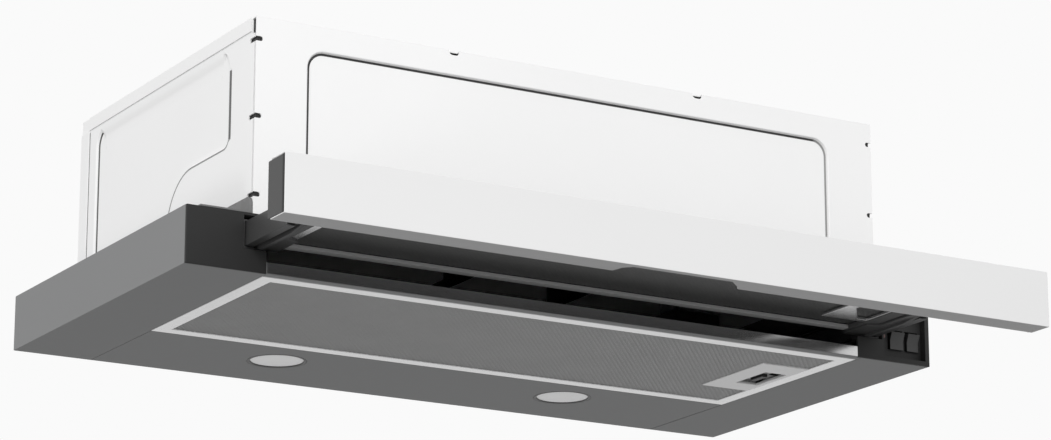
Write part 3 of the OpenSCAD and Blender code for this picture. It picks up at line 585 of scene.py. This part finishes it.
def make_filters():
    """The mesh fields: three round the latch plate of the main filter, one on the drawer's filter."""
    lo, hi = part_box("filter_mesh")
    plate_lo, plate_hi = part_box("latch_plate")
    level = plate_lo.z + 0.6 * MM
    main = ((lo.x + MESH_RIM, plate_lo.x - PLATE_PLAY), (lo.y + MESH_RIM, hi.y - MESH_RIM))
    ends = [((plate_lo.x - PLATE_PLAY, hi.x - MESH_RIM), y) for y in
            ((lo.y + MESH_RIM, plate_lo.y - PLATE_PLAY), (plate_hi.y + PLATE_PLAY, hi.y - MESH_RIM))]
    fields = [main] + ends
    bm = bmesh.new()
    for x, y in fields:
        expanded_layer(bm, x, y, level)
    piece("filter_face_mesh", bm, "grease_filter", "filter_wire", ["filter_mesh"])
    for k, (x, y) in enumerate(fields):
        knitted_pad(f"filter_pad_{k}", x, y, (level + 0.4 * MM, hi.z - 0.4 * MM), "grease_filter",
                    "filter_wire")

    lo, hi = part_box("drawer_filter_mesh")
    spans = ((lo.x + MESH_RIM, hi.x - MESH_RIM), (lo.y + MESH_RIM, hi.y - MESH_RIM))
    bm = bmesh.new()
    expanded_layer(bm, *spans, lo.z + 0.5 * MM)
    piece("drawer_face_mesh", bm, "drawer", "drawer_wire", ["drawer_filter_mesh"])
    knitted_pad("drawer_pad", *spans, (lo.z + 0.8 * MM, hi.z - 0.3 * MM), "drawer", "drawer_wire")


# ---- small parts of the drawer ----

def make_drawer_trim():
    """Black gaskets between the end caps and the skin stand for the skin's folded edge, their black
    partly painted shade; two strips of painted shade lie on the filter's rear and right edges; and its
    knob.
    """
    lo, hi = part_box("drawer_front")
    # The gaskets' black is partly painted shade on the skin's folded edge.
    for name, outer, side in (("left_gasket", lo.x, 1), ("right_gasket", hi.x, -1)):
        reach = sorted((outer - side * 0.15 * MM, outer + side * 1.5 * MM))
        gasket = (reach, (lo.y + 1.0 * MM, lo.y + 3.6 * MM), (1.0 * MM, hi.z - 1.0 * MM))
        soft_bars(name, [gasket], 0.2 * MM, "drawer", "block_plastic")
    lo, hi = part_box("drawer_filter_frame")
    back = hi.y - 0.1 * MM
    # Pale grey strip along the rear edge of the filter frame: painted shade on that border.
    rear = ((lo.x + 7 * MM, hi.x - 7 * MM), (hi.y - 7.2 * MM, back), (lo.z - 0.5 * MM, lo.z + 2 * MM))
    soft_bars("drawer_rear_painted_shade", [rear], 0.2 * MM, "drawer", "carrier_grey")
    # Dark strip along the right edge from 18 mm back: painted shade on that border.
    flank = ((hi.x - 11.4 * MM, hi.x + 0.2 * MM), (lo.y + 18 * MM, back),
             (lo.z - 0.6 * MM, lo.z + 2.1 * MM))
    soft_bars("drawer_side_painted_shade", [flank], 0.2 * MM, "drawer", "cap_grey")
    top = lo.z + 1.6 * MM
    plate = ((0.199, 0.224), (hi.y - 98 * MM, hi.y - 60 * MM), (lo.z - 0.1 * MM, top))
    ridge = ((0.208, 0.213), (hi.y - 84 * MM, hi.y - 66 * MM), (lo.z - 0.4 * MM, top))
    soft_bars("drawer_filter_knob", [plate, ridge], 0.3 * MM, "drawer", "latch_black")


# ---- lamps ----

# Section of the domed glass from its top edge to its middle, as the share of its radius and the height
# above its lowest point in millimetres
GLASS_DOME = [(1.0, 0.7), (0.985, 0.35), (0.94, 0.15), (0.80, 0.05), (0.5, 0.01), (0.15, 0.0)]


def make_lamps():
    """Domed diffusers, and rings with a groove between their inner lip and their flange."""
    lo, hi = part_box("lamp_lenses")
    r = (hi.y - lo.y) / 2
    centres = [Vector((x, (lo.y + hi.y) / 2, 0)) for x in (lo.x + r, hi.x - r)]
    bm = bmesh.new()
    for centre in centres:
        dome = [(1.0, hi.z)] + [(share, lo.z + rise * MM) for share, rise in GLASS_DOME]
        skin(bm, [ring_of(bm, centre, r * share, z) for share, z in dome])
    piece("lamp_diffusers", bm, "housing", "lamp_glass", ["lamp_lenses"])
    lo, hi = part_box("lamp_bezels")
    bore, outer = r + 0.05 * MM, (hi.y - lo.y) / 2
    lip = outer - 2.0 * MM
    flange = lo.z + 1.6 * MM
    profile = [(bore, hi.z), (bore, lo.z + 0.5 * MM), (r + 0.35 * MM, lo.z), (lip - 0.4 * MM, lo.z),
               (lip, lo.z + 0.4 * MM), (lip, flange), (outer, flange), (outer, hi.z)]
    bm = bmesh.new()
    for centre in centres:
        rings = [ring_of(bm, centre, radius, z) for radius, z in profile]
        skin(bm, rings + rings[:1], close_ends=False)
    piece("lamp_rings", bm, "housing", "lamp_ring", ["lamp_bezels"])


# ---- screws ----

SCREW_STEPS = 32
SCREW_HEAD, SCREW_SHAFT, SCREW_TALL = 3.2 * MM, 1.5 * MM, 1.8 * MM

# Section of a pan head, as shares of its radius and of its height
PAN_HEAD = [(1.0, 0.0), (1.0, 0.45), (0.93, 0.72), (0.78, 0.90), (0.58, 1.0)]

# Its cross recess: reach of the arms and of the waist between them, as shares of the head's radius, how
# far it narrows, and how deep it is
CROSS_ARM, CROSS_WAIST, CROSS_TAPER, CROSS_DEEP = 0.52, 0.1485, 0.7, 0.9 * MM


def loose_parts(bm):
    """The points of each part of a mesh that isn't joined to the rest."""
    parts, seen = [], set()
    for start in bm.verts:
        if start in seen:
            continue
        seen.add(start)
        stack, found = [start], []
        while stack:
            vert = stack.pop()
            found.append(vert.co.copy())
            for edge in vert.link_edges:
                other = edge.other_vert(vert)
                if other not in seen:
                    seen.add(other)
                    stack.append(other)
        parts.append(found)
    return parts


def make_screws():
    """Pan head screws with a cross recess, one where each CAD screw is."""
    bm = bmesh.new()
    bm.from_mesh(frame["nodes"]["screws"].data)
    bmesh.ops.remove_doubles(bm, verts=bm.verts, dist=SAME_PLACE)
    places = loose_parts(bm)
    bm.free()
    bm = bmesh.new()
    for points in places:
        top = max(p.z for p in points)
        foot = min(p.z for p in points)
        centre = sum(((p - Vector((0, 0, p.z))) for p in points), Vector()) / len(points)
        under = top - SCREW_TALL
        rings = [(SCREW_SHAFT, foot), (SCREW_SHAFT, under)]
        rings += [(SCREW_HEAD * wide, under + SCREW_TALL * rise) for wide, rise in PAN_HEAD]
        loops = [ring_of(bm, centre, radius, z, SCREW_STEPS) for radius, z in rings]
        mouth, floor = [], []
        for i in range(SCREW_STEPS):
            t = 2 * math.pi * i / SCREW_STEPS
            waist = CROSS_WAIST / max(abs(math.cos(2 * t)), 0.35)
            reach = SCREW_HEAD * (CROSS_ARM if i % 8 == 0 else waist)
            out = Vector((math.cos(t), math.sin(t), 0)) * reach
            mouth.append(bm.verts.new((centre.x + out.x, centre.y + out.y, top)))
            floor.append(bm.verts.new((centre.x + out.x * CROSS_TAPER, centre.y + out.y * CROSS_TAPER,
                                       top - CROSS_DEEP)))
        skin(bm, loops + [mouth, floor])
    piece("screws_detail", bm, "housing", "screw_zinc", ["screws"], smooth=30)


# ---- controls ----

def make_rockers():
    """Rockers with rounded edges, with painted shade on their left and lower sides."""
    for name in ("speed_rocker", "light_rocker"):
        made = rounded_copy(name, 0.45 * MM, 3)
        # Painted shade: faces turned left or down get the darker finish.
        second_finish(made, "switch_black", lambda at, way: way.x < -0.6 or way.z < -0.75)


# ---- rounded copies of folded and moulded parts ----

# Radius in millimetres: the CAD nodes whose edges have it
EDGE_RADII = {
    0.5: ["left_side_member", "right_side_member", "casing_top", "light_panel"],
    0.35: ["casing_back", "back_wall", "left_bracket", "right_bracket", "left_arm",
           "right_arm", "drawer_carrier", "drawer_top_plate", "base_top_plate", "latch_plate",
           "filter_frame", "drawer_filter_frame"],
    0.6: ["left_end_block", "grip_insert", "left_end_cap", "right_end_cap",
          "cable_gland", "outlet_collar"],
    0.25: ["left_outer_rail", "right_outer_rail", "left_mid_rail", "right_mid_rail",
           "left_inner_rail", "right_inner_rail", "rear_flap", "front_flap", "pilot_lamp"],
}


def make_rounded():
    """Rounded copies, some with a second finish on some faces: painted shade on the panel's downward
    faces and on the control block's left-facing faces beside the rockers, the base's grey on the rail's
    underside and ends, and a paler grey on the slider's downward faces above its foot.
    """
    for radius, names in EDGE_RADII.items():
        for name in names:
            rounded_copy(name, radius * MM)
    panel = rounded_copy("drawer_front", 0.5 * MM)
    # Painted shade on the downward faces of the panel's bottom flange.
    second_finish(panel, "panel_shade", lambda at, way: way.z < -0.8 and at.z < 2 * MM)
    rail = rounded_copy("front_rail", 0.35 * MM)
    second_finish(rail, "base_grey", lambda at, way: way.z < -0.3 or abs(way.x) > 0.3)
    slider_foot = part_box("latch_slider")[0].z
    slider = rounded_copy("latch_slider", 0.5 * MM)
    second_finish(slider, "carrier_grey", lambda at, way: (
        way.z < -0.5 and at.z > slider_foot + 1.0 * MM))
    rocker_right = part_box("light_rocker")[1].x
    block = rounded_copy("control_block", 0.6 * MM)
    block_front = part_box("control_block")[0].y
    # Painted shade on the left-facing faces right of the rockers.
    second_finish(block, "switch_black", lambda at, way: (
        way.x < -0.6 and at.x > rocker_right and at.y > block_front + 1 * MM))


# ---- floor, light and camera ----

def lamp(name, place, target, size, power):
    """A round soft light of a given width and power that faces a target."""
    data = bpy.data.lights.new(name, "AREA")
    data.shape = "DISK"
    data.size = size
    data.energy = power
    made = bpy.data.objects.new(name, data)
    made.location = place
    aim = Vector(target) - Vector(place)
    made.rotation_euler = aim.to_track_quat("-Z", "Y").to_euler()
    bpy.context.scene.collection.objects.link(made)


def make_floor(size=120.0, drop=6.0):
    """A pale floor far below the hood, which neither lights it nor shows in it."""
    bm = bmesh.new()
    bmesh.ops.create_grid(bm, x_segments=8, y_segments=8, size=size)
    mesh = bpy.data.meshes.new("floor")
    bm.to_mesh(mesh)
    bm.free()
    floor = bpy.data.objects.new("floor", mesh)
    floor.location = (0, 0, -drop)
    floor.visible_diffuse = False
    floor.visible_glossy = False
    bpy.context.scene.collection.objects.link(floor)
    finish_of("floor_pale", grey(0.62), 0.9, bump=0.0, vary=0.01, vary_scale=0.5)
    mesh.materials.append(materials["floor_pale"])


def make_surround():
    """A near-white surround that gets darker straight below and straight above."""
    world = bpy.data.worlds.new("surround")
    world.use_nodes = True
    tree = world.node_tree
    sky = tree.nodes["Background"]
    way = node(tree, "ShaderNodeTexCoord")
    height = node(tree, "ShaderNodeSeparateXYZ")
    tree.links.new(way.outputs["Generated"], height.inputs["Vector"])
    below = node(tree, "ShaderNodeMapRange", From_Min=-0.7, From_Max=0.0, To_Min=0.30, To_Max=0.956)
    tree.links.new(height.outputs["Z"], below.inputs["Value"])
    above = node(tree, "ShaderNodeMapRange", From_Min=0.45, From_Max=1.0, To_Min=1.0, To_Max=0.66)
    tree.links.new(height.outputs["Z"], above.inputs["Value"])
    both = node(tree, "ShaderNodeMath")
    both.operation = "MULTIPLY"
    tree.links.new(below.outputs["Result"], both.inputs[0])
    tree.links.new(above.outputs["Result"], both.inputs[1])
    tree.links.new(both.outputs["Value"], sky.inputs["Color"])
    sky.inputs["Strength"].default_value = 1.0
    bpy.context.scene.world = world


def make_lights():
    """A large soft key light from the front left, a small low one and a soft one from behind."""
    lamp("key", (-2.2, -3.8, 1.5), (0, 0, 0.08), 1.6, 80)
    lamp("low", (-1.7, -0.7, -0.9), (-0.25, 0, 0), 0.5, 3)
    lamp("back", (1.9, 2.6, 1.3), (0, 0, 0.08), 1.5, 22)


def make_camera():
    """The camera stands left of the hood and below it, and looks up to the right."""
    azimuth, elevation = math.radians(30.28), math.radians(15.33)
    data = bpy.data.cameras.new("camera")
    data.sensor_width = 36.0
    data.lens = 124.4
    data.clip_end = 200.0
    made = bpy.data.objects.new("camera", data)
    made.location = (-1.2644, -2.1659, -0.5999)
    aim = Vector((math.sin(azimuth) * math.cos(elevation), math.cos(azimuth) * math.cos(elevation),
                  math.sin(elevation)))
    made.rotation_euler = aim.to_track_quat("-Z", "Y").to_euler()
    bpy.context.scene.collection.objects.link(made)
    bpy.context.scene.camera = made


def paint_cad():
    """Gives each CAD node the material of its slot, which shows where no piece replaces the node."""
    for name, made in frame["nodes"].items():
        made.data.materials.clear()
        made.data.materials.append(materials[SLOTS[name]])


make_camera()
make_materials()
paint_cad()
make_casing_front()
make_casing_side("casing_left", -1)
make_casing_side("casing_right", 1)
make_rounded()
make_filters()
make_drawer_trim()
make_lamps()
make_screws()
make_rockers()
make_floor()
make_surround()
make_lights()
bpy.context.scene.view_settings.view_transform = "Standard"
